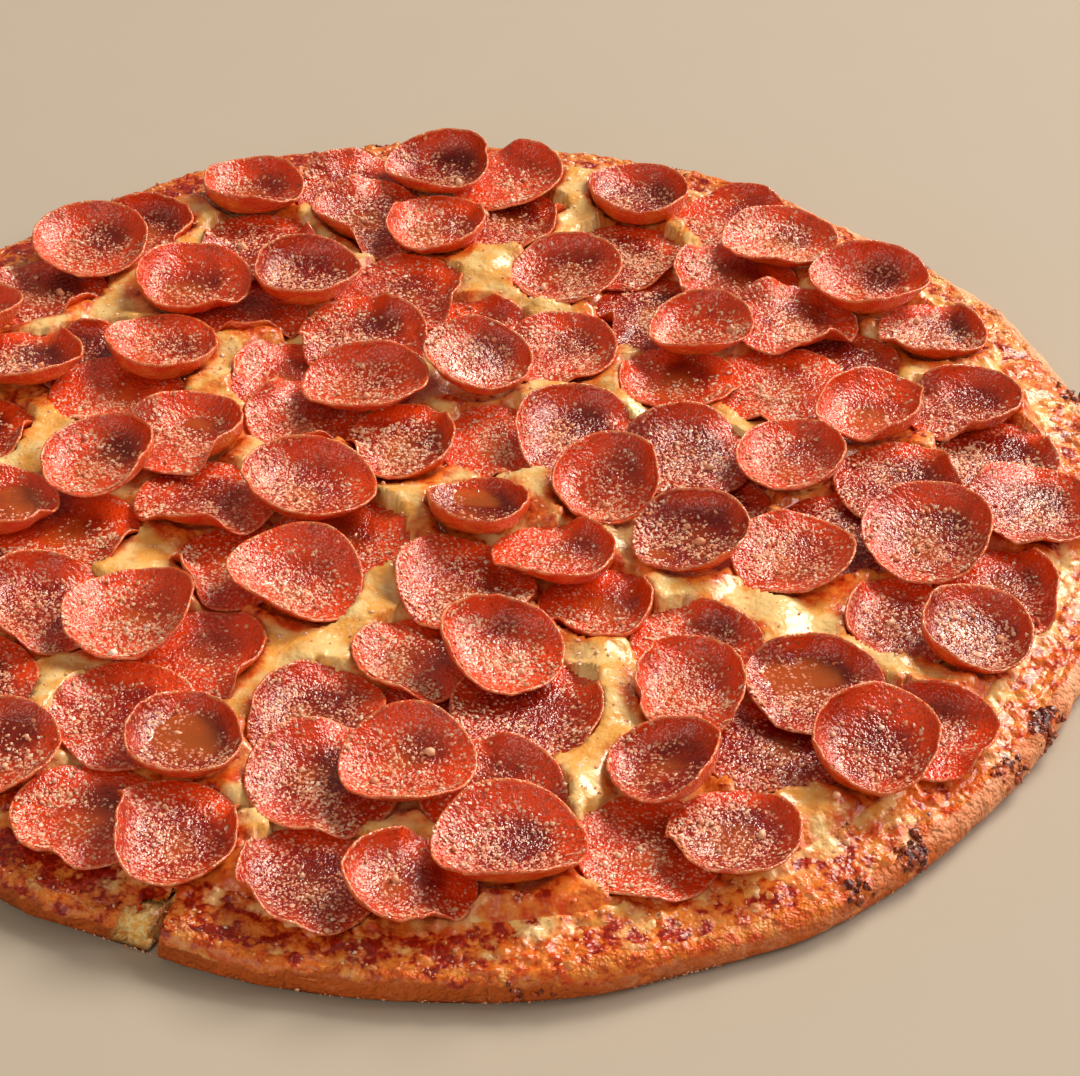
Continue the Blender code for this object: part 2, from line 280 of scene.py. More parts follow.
def sliceSheet(piece, side):
    angles = around(slices["sheetSides"])
    sheet = []
    for along in np.linspace(0, 2, slices["sheetRows"]):
        slope = curlAt(piece, angles) * np.clip(along - 1, 0, 1)
        lift = side * slices["thickness"] / 2 * faceNormal(slope, angles)
        sheet.append(slicePoint(piece, along, angles) + lift)
    return np.concatenate(sheet)


def sliceSolid(piece):  # the plain solid's points and triangles
    sides = slices["sides"]
    angles = around(sides, 0.5)
    centre, edge, rim = (slicePoint(piece, along, angles) for along in (0.0, 1.0, 2.0))
    level = slices["thickness"] / 2 * faceNormal(0 * angles, angles)
    steep = slices["thickness"] / 2 * faceNormal(curlAt(piece, angles) / 2, angles)
    points = [centre[0] + level[0], *(edge + level), *(rim + steep)]
    points += [centre[0] - level[0], *(edge - level), *(rim - steep)]
    below = 1 + 2 * sides
    faces = []
    for i in range(sides):
        j = (i + 1) % sides
        a, b, c, d = 1 + i, 1 + j, 1 + sides + i, 1 + sides + j
        faces += [(0, a, b), (a, c, d), (a, d, b)]
        faces += [(below, below + b, below + a), (below + a, below + d, below + c)]
        faces += [(below + a, below + b, below + d)]
        faces += [(c, below + c, below + d), (c, below + d, d)]
    return np.array(points), np.array(faces)


def turned(points, lean):
    cx, sx, cy, sy = math.cos(lean[0]), math.sin(lean[0]), math.cos(lean[1]), math.sin(lean[1])
    aboutX = np.array([[1, 0, 0], [0, cx, -sx], [0, sx, cx]])
    aboutY = np.array([[cy, 0, sy], [0, 1, 0], [-sy, 0, cy]])
    return points @ (aboutY @ aboutX).T


def laidPoints(piece, points):
    return turned(points, piece["lean"]) + [*piece["centre"], piece["height"]]


def overFacets(points, faces):
    steps = slices["facetSteps"]
    share = np.array([(i, j) for i in range(steps + 1) for j in range(steps + 1 - i)]) / steps
    a, b, c = (points[faces[:, corner]][:, None, :] for corner in range(3))
    spread = a + (b - a) * share[None, :, :1] + (c - a) * share[None, :, 1:]
    return spread.reshape(-1, 3)


def mapCells(points):
    return tuple(np.round((points[:, :2] + slices["mapHalf"]) / slices["mapCell"]).astype(int).T)


def widened(heights, pick=np.maximum):
    high = heights.copy()
    for shift in fourWays:
        high = pick(high, np.roll(heights, shift, axis=(0, 1)))
    return high


def softened(heights):
    return (heights + sum(np.roll(heights, s, axis=(0, 1)) for s in fourWays)) / 5


def readMap(heights, points):
    place = (points[:, :2] + slices["mapHalf"]) / slices["mapCell"]
    cell = np.floor(place).astype(int)
    share = place - cell
    total = 0
    for dx, dy in np.ndindex(2, 2):
        weight = np.abs(1 - dx - share[:, 0]) * np.abs(1 - dy - share[:, 1])
        total = total + weight * heights[cell[:, 0] + dx, cell[:, 1] + dy]
    return total


def bedMaps():
    steps = np.arange(mapSize) * slices["mapCell"] - slices["mapHalf"]
    x, y = np.meshgrid(steps, steps, indexing="ij")
    inset = outlineRadius(np.arctan2(y, x)) - np.hypot(x, y)
    bed = bedHeight(inset) + cheeseFoot
    firm = np.where(inset > pizza["shoulder"], bed, pizza["rimTop"] + pizza["rimRelief"])
    soft = np.where(inset > pizza["cheeseInset"], bed + pizza["cheese"], 0.0)
    return firm * (inset > 0), soft


def settle(laid, order):
    firm, soft = bedMaps()
    for index in order:
        piece = laid[index]
        points, faces = sliceSolid(piece)
        underFaces = faces[(faces >= len(points) // 2).any(axis=1)]
        under = np.concatenate([overFacets(points, underFaces), sliceSheet(piece, -1)])
        firmHigh, softHigh = widened(firm), widened(soft)
        clear = pizza["gap"] if piece["loose"] else -slices["sink"]

        def restingHeight(lean):
            there = turned(under, lean) + [*piece["centre"], 0]
            cells = mapCells(there)
            onFirm = (firmHigh[cells] - there[:, 2]).max() + pizza["gap"]
            onSoft = (softHigh[cells] - there[:, 2]).max() + clear
            return max(onFirm, onSoft)

        lean = piece["lean"]
        best = restingHeight(lean)
        step = slices["firstStep"]
        while step > slices["lastStep"]:
            tries = [lean + step * np.array(way) for way in fourWays]
            tries = [t for t in tries if np.abs(t).max() < slices["mostTilt"]]
            heights = [restingHeight(t) for t in tries]
            if min(heights) < best - slices["leastDrop"]:
                lean, best = tries[int(np.argmin(heights))], min(heights)
            else:
                step /= 2
        piece["lean"], piece["height"] = lean, best
        spread = laidPoints(piece, np.concatenate([overFacets(points, faces), sliceSheet(piece, 1)]))
        np.maximum.at(firm if piece["loose"] else soft, mapCells(spread), spread[:, 2])


def layPepperoni():
    draw = np.random.default_rng(slices["seed"])
    centres, loose = layOut(draw)
    laid = [drawSlice(draw, centre, free) for centre, free in zip(centres, loose)]
    shuffled = draw.permutation(len(laid))
    order = [i for i in shuffled if not loose[i]] + [i for i in shuffled if loose[i]]
    pressDown(laid, order)
    settle(laid, order)
    return laid


pepperoni = layPepperoni()
print("slices laid:", len(pepperoni))


def isColour(value):
    return isinstance(value, tuple) or isinstance(value, Wire) and value.socket.type != "VALUE"


# Shader maths: a socket that takes part in Python expressions
class Wire:
    def __init__(self, look, socket):
        self.look = look
        self.socket = socket

    def combine(self, operation, first, second):
        kind = "ShaderNodeVectorMath" if isColour(first) or isColour(second) else "ShaderNodeMath"
        return self.look.node(kind, {"operation": operation}, {0: first, 1: second})

    def __add__(self, other):
        return self.combine("ADD", self, other)

    def __radd__(self, other):
        return self.combine("ADD", other, self)

    def __sub__(self, other):
        return self.combine("SUBTRACT", self, other)

    def __rsub__(self, other):
        return self.combine("SUBTRACT", other, self)

    def __mul__(self, other):
        return self.combine("MULTIPLY", self, other)

    def __rmul__(self, other):
        return self.combine("MULTIPLY", other, self)


class Finish:
    def __init__(self, name, **constants):
        self.material = bpy.data.materials.new(name)
        self.material.use_nodes = True
        self.tree = self.material.node_tree
        self.shader = self.tree.nodes["Principled BSDF"]
        for socket, value in constants.items():
            self.shader.inputs[socket.replace("_", " ")].default_value = value
        self.place = self.node("ShaderNodeTexCoord", {}, {}, "Object")

    def node(self, kind, settings, sockets, output=0):
        made = self.tree.nodes.new(kind)
        for name, value in settings.items():
            setattr(made, name, value)
        for name, value in sockets.items():
            self.feed(made.inputs[name], value)
        return Wire(self, made.outputs[output])

    def feed(self, socket, value):
        if isinstance(value, Wire):
            self.tree.links.new(value.socket, socket)
        elif isinstance(value, tuple) and socket.type == "RGBA":
            socket.default_value = (*value, 1)
        elif socket.type == "VECTOR" and not isinstance(value, tuple):
            socket.default_value = (value, value, value)
        else:
            socket.default_value = value

    def attribute(self, name):
        return self.node("ShaderNodeAttribute", {"attribute_name": name}, {}, "Fac")

    def noise(self, size, detail=3, roughness=0.55, shift=0.0):
        place = self.place + (shift, shift, shift) if shift else self.place
        sockets = {"Vector": place, "Scale": 1 / size, "Detail": detail, "Roughness": roughness}
        return self.node("ShaderNodeTexNoise", {}, sockets, "Fac")

    def step(self, value, low, high):
        limits = {"Value": value, "From Min": low, "From Max": high}
        return self.node("ShaderNodeMapRange", {"interpolation_type": "SMOOTHSTEP"}, limits)

    def mix(self, factor, first, second):
        return self.node("ShaderNodeMix", {"data_type": "RGBA"}, {0: factor, 6: first, 7: second}, 2)

    def blend(self, value, low, high, first, second):  # goes from one to the other as the value rises
        return self.mix(self.step(value, low, high), first, second)

    def relief(self, height, distance):
        bump = self.node("ShaderNodeBump", {}, {"Height": height, "Distance": distance, "Strength": 1.0})
        self.feed(self.shader.inputs["Normal"], bump)

    def wear(self, **inputs):  # what varies over the surface
        for name, value in inputs.items():
            self.feed(self.shader.inputs[name.replace("_", " ")], value)


def tint(red, green, blue):  # a screen colour, 0 to 255, as the light values that shaders take
    parts = [c / 255 for c in (red, green, blue)]
    return tuple(c / 12.92 if c <= 0.04045 else ((c + 0.055) / 1.055) ** 2.4 for c in parts)


def addObject(name, data):
    made = bpy.data.objects.new(name, data)
    bpy.context.scene.collection.objects.link(made)
    return made


def addPiece(name, points, faces, look, values=None, standsFor=()):
    mesh = bpy.data.meshes.new(name)
    mesh.from_pydata(points.tolist(), [], faces if isinstance(faces, list) else faces.tolist())
    mesh.materials.append(look.material)
    mesh.shade_smooth()
    for key, numbers in (values or {}).items():
        layer = mesh.attributes.new(key, "FLOAT", "POINT")
        layer.data.foreach_set("value", np.asarray(numbers, np.float32))
    made = addObject(name, mesh)
    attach(made, "root")
    if standsFor:
        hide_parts(*standsFor)


def gridFaces(rows, columns):  # quads between closed rows of points
    row, column = np.meshgrid(np.arange(rows - 1), np.arange(columns), indexing="ij")
    nextColumn = (column + 1) % columns
    corners = [row * columns + column, row * columns + nextColumn]
    corners += [(row + 1) * columns + nextColumn, (row + 1) * columns + column]
    return np.stack(corners, axis=-1).reshape(-1, 4)


def addDomes(points, centres, radii, heights):  # raises what lies within each centre's radius
    amount = np.zeros(len(points))
    for centre, radius, height in zip(centres, radii, heights):
        near = np.abs(points - centre).max(axis=1) < radius
        away = np.linalg.norm(points[near] - centre, axis=1) / radius
        amount[near] = np.maximum(amount[near], height * np.clip(1 - away**2, 0, 1) ** 1.2)
    return amount


# Finishes
def bakedColour(look):
    # melted cheese and sauce: cream to gold, orange oil, baked red and burnt, in flecks of a few millimetres
    brown, red, charAndPaintedShade = map(look.attribute, ("brown", "red", "charAndPaintedShade"))
    patch = look.noise(0.0085, 2, 0.6)
    fleck = look.noise(0.0036, 2, 0.6, 0.5)
    fine = look.noise(0.0011, 1, 0.6, 0.3)
    cream = look.blend(patch, 0.38, 0.62, tint(244, 208, 138), tint(236, 170, 80))
    gold = look.blend(fleck + (fine - 0.5) * 0.3, 0.30, 0.70, tint(236, 134, 48), tint(210, 72, 18))
    baked = look.blend(brown + (patch - 0.5) * 0.9 + (fleck - 0.5) * 0.5, 0.25, 0.80, cream, gold)
    sauce = look.blend(fine + (fleck - 0.5) * 0.5, 0.35, 0.62, tint(190, 46, 14), tint(144, 26, 9))
    stained = look.blend(red + (fleck - 0.5) * 1.5 + (fine - 0.5) * 0.2, 0.48, 0.82, baked, sauce)
    return look.blend(charAndPaintedShade + (fine - 0.5) * 0.4, 0.48, 0.85, stained, tint(88, 20, 12))


def granules(look, size, bend):  # crumbly domes: 1 in the middle of each, 0 between them
    shake = (look.noise(size / 0.9, 0.0) - 0.5) * bend
    shift = look.node("ShaderNodeCombineXYZ", {}, {"X": shake, "Y": shake * -1.0, "Z": shake})
    sockets = {"Vector": look.place + shift, "Scale": 1 / size}
    return look.step(look.node("ShaderNodeTexVoronoi", {}, sockets, "Distance"), 0.62, 0.12)


def cheeseFinish():
    look = Finish("melted cheese", Coat_Roughness=0.07, IOR=1.45)
    colour = bakedColour(look)
    dust, rough = map(look.attribute, ("dust", "rough"))
    grain = granules(look, 0.00115, 0.0007)
    lot = look.noise(0.0050, 1, 0.6, 0.7)
    speck = look.step(grain, 0.40, 0.75) * look.step(lot + (dust - 0.5) * 0.8, 0.45, 0.65)
    look.wear(Base_Color=look.mix(speck * 0.45, colour, tint(252, 220, 176)),
                Roughness=0.18 + lot * 0.22, Coat_Weight=0.34 - rough * 0.06)
    look.relief(look.noise(0.0034, 2) * (0.7 + rough), 0.0009)
    return look


def doughFinish():
    look = Finish("baked dough", Coat_Roughness=0.12, Specular_IOR_Level=0.25)
    film, toastAndPaintedShade, bare = map(look.attribute, ("film", "toastAndPaintedShade", "torn"))
    patch = look.noise(0.011, 2, 0.6)
    fine = look.noise(0.0012, 1, 0.65, 0.2)
    # the toasting includes painted shade on the front and left of the crust
    toastedAndShaded = toastAndPaintedShade + (patch - 0.5) * 0.6 + (fine - 0.5) * 0.35
    tan = look.blend(toastedAndShaded, 0.0, 0.50, tint(246, 182, 138), tint(200, 94, 26))
    skin = look.blend(toastedAndShaded, 0.45, 1.05, tan, tint(92, 34, 8))
    crumb = look.blend(fine, 0.35, 0.65, tint(255, 232, 166), tint(255, 190, 92))
    dough = look.mix(bare, skin, crumb)
    colour = look.blend(film + (fine - 0.5) * 0.6, 0.35, 0.65, dough, bakedColour(look))
    look.wear(Base_Color=colour, Roughness=0.60 - film * 0.34 + (fine - 0.5) * 0.2, Coat_Weight=film * 0.4)
    look.relief(fine + look.noise(0.0034, 2, 0.6, 0.9) * 2.0, 0.0009)
    return look


def pepperoniFinish():
    look = Finish("baked pepperoni", IOR=1.70)
    wall, top, tone = map(look.attribute, ("wall", "top", "tone"))
    oil, dust, charAndPaintedShade = map(look.attribute, ("oil", "dust", "charAndPaintedShade"))
    patch = look.noise(0.0052, 2, 0.6)
    fleck = look.noise(0.0021, 2, 0.6, 0.2)
    fine = look.noise(0.0008, 1, 0.65, 0.4)
    # painted glow: the meat is lighter towards the rim and on back right walls, for light shining through the
    # thin slice; patch and tone add random variation
    glow = wall * 0.45 + patch * 0.9 + tone * 0.75 + (fleck - 0.5) * 0.5
    meat = look.blend(glow, 0.45, 1.50, tint(134, 9, 6), tint(238, 70, 14))
    marbling = look.step(fleck + (fine - 0.5) * 0.6, 0.58, 0.74) * 0.55
    marbled = look.mix(marbling, meat, tint(228, 104, 42))
    depth = look.step(fine + (fleck - 0.5) * 0.8, 0.52, 0.80) * 0.50
    deep = look.mix(depth, marbled, tint(92, 10, 6))
    # charred rims, and the painted shade patch in the back right of each cup, both dark maroon
    charredAndShaded = look.mix(charAndPaintedShade, deep, tint(98, 11, 5))
    # the outside: under a film of orange oil and cheese, paler towards its foot
    outer = look.blend(patch + wall * 0.6, 0.60, 1.20, tint(236, 128, 44), tint(222, 62, 14))
    faced = look.mix(top, outer, charredAndShaded)
    # painted glow: a pale orange line along the thin rim, for light shining through it
    rimGlow = look.step(wall, 0.955, 1.0) * look.step(fleck + patch * 0.5, 0.55, 0.95)
    rimGlowed = look.mix(rimGlow * 0.70, faced, tint(244, 168, 108))
    oiled = look.mix(oil * 0.45, rimGlowed, tint(206, 108, 34))
    grain = granules(look, 0.00110, 0.0008)
    lot = look.noise(0.0070, 1, 0.6, 0.7)
    cover = look.step(lot + (dust - 0.5) * 1.1, 0.22, 0.52) * top
    speck = look.step(grain * 0.8 + fine * 0.6, 0.58, 0.84) * cover
    pale = look.blend(fleck, 0.35, 0.65, tint(212, 110, 80), tint(246, 190, 162))
    roughness = (0.16 + (fine - 0.5) * 0.2) * (1 - oil * 0.3) + speck * 0.04
    look.wear(Base_Color=look.mix(speck * 0.80, oiled, pale), Roughness=roughness)
    look.relief((fine * 0.75 + fleck * 1.1) * (1 - oil * 0.8), 0.00055)
    return look


def gratedFinish():
    look = Finish("grated hard cheese", IOR=1.50)
    tone = look.attribute("tone")
    oily = look.blend(tone, 0.0, 0.40, tint(228, 130, 92), tint(238, 170, 128))
    pale = look.blend(tone, 0.40, 0.8, oily, tint(244, 198, 164))
    colour = look.blend(tone, 0.85, 1.0, pale, tint(252, 232, 212))
    look.wear(Base_Color=colour, Roughness=0.18 + tone * 0.25)
    return look


def burntFinish():
    look = Finish("burnt bits", IOR=1.55)
    patch = look.noise(0.0022, 2, 0.6)
    colour = look.blend(patch, 0.38, 0.62, tint(92, 28, 14), tint(186, 84, 38))
    look.wear(Base_Color=colour, Roughness=0.15 + patch * 0.3)
    look.relief(look.noise(0.0009, 1), 0.0006)
    return look


burntLook = burntFinish()
cheeseLook = cheeseFinish()
doughLook = doughFinish()
pepperoniLook = pepperoniFinish()
gratedLook = gratedFinish()
print("finishes made")


# What lies over the cheese, as maps: the lowest underside and the highest top
def sliceMaps():
    low, high = np.full((mapSize, mapSize), 1.0), np.zeros((mapSize, mapSize))
    for piece in pepperoni:
        under = laidPoints(piece, sliceSheet(piece, -1))
        hold = slices["looseHold" if piece["loose"] else "sunkHold"]
        np.minimum.at(low, mapCells(under), under[:, 2] + hold)
        over = laidPoints(piece, sliceSheet(piece, 1))
        np.maximum.at(high, mapCells(over), over[:, 2])
    for _ in range(2):
        low = widened(low, np.minimum)
        high = widened(high)
    for _ in range(2):
        low = softened(low)
    return low, high


def nearestSlice(x, y):  # how far each point lies outside the nearest slice's flat middle
    nearest = np.full(x.shape, 1.0)
    for piece in pepperoni:
        away = np.hypot(x - piece["centre"][0], y - piece["centre"][1]) - slices["flat"]
        nearest = np.minimum(nearest, away)
    return nearest


lowMap, highMap = sliceMaps()
groundMap = np.zeros_like(highMap)


def addGround(points):
    np.maximum.at(groundMap, mapCells(points), points[:, 2])


# Burnt spots at the edge: at how many degrees, how wide along the edge in millimetres and how strong
burntSpots = ((-2, 8, 1.0), (-9, 12, 1.0), (-33, 9, 1.0), (-39, 8, 0.8), (-52, 9, 0.9), (-58, 6, 0.7),
              (14, 7, 0.7), (38, 8, 0.6), (127, 12, 0.8), (96, 9, 0.5), (170, 14, 0.6), (-140, 12, 0.5),
              (-84, 10, 0.5), (-160, 12, 0.6), (66, 8, 0.6))


def burntAt(angle):
    total = np.zeros_like(angle)
    for degrees, width, strength in burntSpots:
        away = turnBetween(angle, math.radians(degrees)) * pizza["radius"]
        total = np.maximum(total, strength * fall(away, 0.25 * width / 1000, width / 1000))
    return total


def bareLip(points):  # 1 at the right, where the dough's edge stays bare
    return ease(points[:, 0], 0.05, 0.14)


# Crust: a thin flat round with a low baked rim, and a nick where a cut comes out
crust = {
    "steps": 1300,
    "nickReach": math.radians(4),
    "nickSteps": 80,
    "section": ((0.0300, 0.0), (0.0120, 0.0), (0.0045, 0.0), (0.0030, 0.0001), (0.0015, 0.0006),
                (0.0007, 0.0014), (0.0002, 0.0023), (0.0, 0.0032), (0.0, 0.0042), (0.0001, 0.0052),
                (0.0004, 0.0063), (0.0011, 0.0074), (0.0020, 0.0082), (0.0032, 0.0086)),
    "across": 0.0008,
    "innerEdge": 0.0190,
    "puffs": ((0.016, 0.0008), (0.006, 0.0005), (0.0028, 0.00030), (0.0014, 0.00012)),
    "blisters": 700,
    "blisterSize": (0.0007, 0.0019),
    "tornWidth": 0.0118,
    "tornDepth": 0.0024,
    "crumb": ((0.0026, 0.0009), (0.0012, 0.0006)),
    "seed": 5,
}


def crustAngles(steps):
    even = around(steps) - math.pi
    fine = pizza["nickAngle"] + np.linspace(-1, 1, crust["nickSteps"]) * crust["nickReach"]
    even = even[np.abs(even - pizza["nickAngle"]) > crust["nickReach"]]
    return np.sort(np.concatenate([even, fine]))


def onOutline(angles, inset, height):
    radius = outlineRadius(angles) - inset
    x, y = radius * np.cos(angles) - middle[0], radius * np.sin(angles) - middle[1]
    return np.stack([x, y, np.broadcast_to(height, angles.shape)], axis=1)


def makeCrust():
    angles = crustAngles(crust["steps"])
    section = list(crust["section"])
    section += [(inset, bedHeight(max(inset, pizza["shoulder"])))
                for inset in np.arange(0.0041, crust["innerEdge"], crust["across"])]
    lift = waves(pizza["rimWaves"], angles)
    away = (angles - pizza["nickAngle"]) * pizza["radius"]
    nick = np.clip(1 - np.abs(away) / (pizza["nickWidth"] / 2), 0, 1)
    torn = ease(away, -crust["tornWidth"], -crust["tornWidth"] * 0.6)
    torn = torn * fall(away, -0.0003, 0.0009)
    rows, insets = [], []
    for inset, height in section:
        rise = lift * height / pizza["rimTop"] * fall(inset, 0.004, 0.010)
        here = inset + nick * pizza["nickDepth"] * fall(inset, 0.002, 0.0135) * (inset < 0.0145)
        here = here + torn * crust["tornDepth"] * fall(inset, 0.001, 0.006) * (height > 0.0008)
        rows.append(onOutline(angles, here, height + rise))
        insets.append(np.full_like(angles, inset))
    points, inset = np.concatenate(rows), np.concatenate(insets)
    angle, torn = np.tile(angles, len(section)), np.tile(torn, len(section))
    burnt = burntAt(angle)
    # the relief goes sideways on the edge and up on the rim
    up = ease(points[:, 2], 0.0055, 0.0084)
    outward = flat(np.cos(angle), np.sin(angle)) * (1 - up)[:, None] + np.array([0, 0, 1.0]) * up[:, None]
    free = ease(points[:, 2], 0.0002, 0.0026)
    draw = np.random.default_rng(crust["seed"])
    spots = draw.uniform(-math.pi, math.pi, crust["blisters"])
    depth = draw.uniform(-0.0002, 0.0075, crust["blisters"])
    centres = onOutline(spots, depth, np.interp(depth, (0, 0.0012, 0.0032), (0.0056, 0.0076, 0.0088)))
    sizes = draw.uniform(*crust["blisterSize"], crust["blisters"]) * (1 + 0.6 * burntAt(spots))
    domes = addDomes(points, centres, sizes, sizes * draw.uniform(0.25, 0.5, len(sizes)))
    crumb = layered(points, crust["crumb"], 33) * torn
    relief = layered(points, crust["puffs"], 3) + domes + crumb
    points = points + outward * (relief * free)[:, None]
    points[:, 2] = np.maximum(points[:, 2], 0)
    count, last = len(angles), (len(section) - 1) * len(angles)
    faces = gridFaces(len(section), count).tolist()
    faces += [tuple(reversed(range(count))), tuple(last + i for i in range(count))]
    height = points[:, 2]
    ragged = layered(points, ((0.010, 0.0016), (0.0035, 0.0011), (0.0015, 0.0005)), 9)
    film = ease(height + ragged * 0.9 + 0.001 * burnt, 0.0052, 0.0080)
    film = film * (1 - bareLip(points) * fall(inset + ragged + 0.002 * burnt, 0.0028, 0.0046))
    drips = ease(ripples(points * (1, 1, 0.35), 0.006, 44) + 0.8 * burnt, 0.55, 0.9)
    drips = drips * ease(height, 0.0015, 0.0040)
    charAndPaintedShade = 0.9 * burnt * ease(height, 0.0030, 0.0062) * (0.75 + 0.5 * ripples(points, 0.0025, 42))
    charAndPaintedShade = charAndPaintedShade + 0.3 * ease(domes, 0.0001, 0.0006)
    left = ease(-points[:, 0], -0.10, 0.14)
    front = ease(-points[:, 1], 0.02, 0.15)
    torn = torn * ease(height, 0.0006, 0.0016) * fall(inset, 0.0115, 0.0140)
    values = {
        "film": np.maximum(film, 0.85 * drips) * (1 - torn),
        "brown": 0.80 + 0.25 * ripples(points, 0.01, 40),
        "red": 0.25 + 0.30 * left + 0.25 * ripples(points, 0.006, 41),
        "charAndPaintedShade": charAndPaintedShade * (1 - torn),
        # painted shade: browner on the front and left, the sides away from the lamps; it is also darker
        # towards the foot
        "toastAndPaintedShade": 0.10 + 0.30 * left + 0.28 * front + 0.45 * fall(height, 0.0002, 0.0026) + 0.25 * drips,
        "torn": torn,
    }
    addPiece("pizza_crust", points, faces, doughLook, values, ["crust"])


makeCrust()
print("crust made")

# The band round the slices: the dressed surface, by how far in it lies from the outline
band = {
    "insets": (0.0, 0.0004, 0.0011, 0.0020, 0.0032, 0.0065, 0.0085, 0.0112, 0.0150, 0.0190, 0.0240),
    "heights": (0.0050, 0.0062, 0.0074, 0.0083, 0.0088, 0.0090, 0.0092, 0.0096, 0.0098, 0.0107, 0.0107),
    "steps": 1500,
    "sauceSteps": 800,
    "across": 0.00066,
    "inner": 0.0186,
    "middle": 0.0088,
    "lumps": ((0.0062, 0.00055), (0.0032, 0.00070), (0.0015, 0.00030)),
    "sauceRipples": ((0.004, 0.00032), (0.0015, 0.00026)),
    "blisters": 900,
    "blisterSize": (0.0008, 0.0024),
    "seed": 17,
    "nickSpare": 0.0006,
    "tornWidth": 0.0098,
    "tornDepth": 0.0115,
}


def bandHeight(inset, points):
    angle = np.arctan2(points[:, 1] + middle[1], points[:, 0] + middle[0])
    lift = waves(pizza["rimWaves"], angle) * fall(inset, 0.004, 0.010)
    puffs = 0.5 * layered(points, crust["puffs"], 3) * fall(inset, 0.004, 0.012)
    return np.interp(inset, band["insets"], band["heights"]) + lift + puffs


def bandGrid(outer, inner, steps):
    angles = crustAngles(steps)
    insets = np.arange(outer, inner, band["across"])
    points = np.concatenate([onOutline(angles, inset, band["middle"]) for inset in insets])
    inset = np.repeat(insets, len(angles))
    away = (np.tile(angles, len(insets)) - pizza["nickAngle"]) * pizza["radius"]
    nick = pizza["nickWidth"] / 2 * (1 - inset / pizza["nickDepth"]) + band["nickSpare"] * (inset < 0.0135)
    ragged = 1 + 0.6 * ripples(points, 0.0022, 93)
    torn = band["tornWidth"] * (1 - (inset / band["tornDepth"]) ** 2) * ragged
    whole = (away > nick) | (away < -np.maximum(nick, torn))
    faces = gridFaces(len(insets), len(angles))
    return points, inset, np.tile(angles, len(insets)), faces[whole[faces].all(axis=1)]


def makeBand():
    # the sauce, baked on
    points, inset, angle, faces = bandGrid(0.0024, 0.0170, band["sauceSteps"])
    ragged = layered(points, ((0.009, 0.0011), (0.0034, 0.0008)), 80)
    points[:, 2] = bandHeight(inset, points) + 0.0001 + layered(points, band["sauceRipples"], 82)
    points[:, 2] -= 0.0016 * fall(inset + ragged - 0.0022 * bareLip(points), 0.0030, 0.0046)
    points[:, 2] = np.minimum(points[:, 2], readMap(lowMap, points))
    left = ease(-points[:, 0], -0.12, 0.12)
    values = {
        "brown": 0.80 + 0.3 * ripples(points, 0.008, 83),
        "red": 0.55 + 0.25 * left + 0.25 * ripples(points, 0.005, 84),
        "charAndPaintedShade": 0.55 * ease(ripples(points, 0.0032, 85), 0.15, 0.7) * (0.6 + 0.4 * left),
        "dust": 0.15 + 0.4 * ripples(points, 0.010, 89),
        "rough": np.full(len(points), 1.0),
    }
    addGround(points)
    addPiece("sauce_band", points, faces, cheeseLook, values, ["sauce"])

    # lumps of cheese, baked golden, in patches over it
    points, inset, angle, faces = bandGrid(0.0012, band["inner"], band["steps"])
    burnt = burntAt(angle)
    draw = np.random.default_rng(band["seed"])
    count = band["blisters"]
    spots = draw.uniform(-math.pi, math.pi, count)
    centres = onOutline(spots, draw.uniform(0.0016, 0.0170, count), band["middle"])
    sizes = draw.uniform(*band["blisterSize"], count)
    domes = addDomes(points, centres, sizes, sizes * draw.uniform(0.35, 0.65, count))
    lumps = layered(points, band["lumps"], 60) + domes
    bias = -0.00045 + 0.0010 * ease(inset, 0.0095, 0.0165) + 0.0006 * burnt
    ragged = layered(points, ((0.008, 0.0012), (0.0028, 0.0010)), 64)
    points[:, 2] = bandHeight(inset, points) + np.maximum(lumps + bias, -0.0007) * 0.9
    start = inset + ragged + 0.0012 * burnt - 0.0024 * bareLip(points)
    points[:, 2] -= 0.0016 * fall(start, 0.0016, 0.0032)
    points[:, 2] -= 0.0009 * ease(inset, band["inner"] - 0.0016, band["inner"])
    points[:, 2] = np.minimum(points[:, 2], readMap(lowMap, points))
    left = ease(-points[:, 0], -0.12, 0.12)
    front = ease(-points[:, 1], 0.02, 0.15)
    values = {
        "brown": 0.45 + 0.25 * fall(inset, 0.006, 0.017) + 0.35 * ripples(points, 0.006, 86)
        + 0.2 * left,
        "red": 0.20 + 0.20 * front + 0.14 * left + 0.25 * ripples(points, 0.006, 87)
        - 0.2 * ease(lumps, 0.0002, 0.0009),
        "charAndPaintedShade": 0.8 * burnt * fall(inset, 0.004, 0.009)
        + 0.45 * ease(ripples(points, 0.0030, 88), 0.3, 0.75)
        + 0.5 * ease(domes, 0.0003, 0.0009) * ease(ripples(points, 0.006, 92), -0.2, 0.5),
        "dust": 0.28 + 0.5 * ripples(points, 0.012, 89),
        "rough": 0.9 - 0.7 * ease(inset, 0.011, 0.017),
    }
    addGround(points)
    addPiece("baked_edge", points, faces, cheeseLook, values)


makeBand()
print("band made")

cheese = {
    "cell": 0.00100,
    "outer": 0.0165,
    "lumps": ((0.014, 0.0006), (0.006, 0.0005), (0.0027, 0.00012)),
    "rise": 0.0040,
    "round": 0.0009,
}


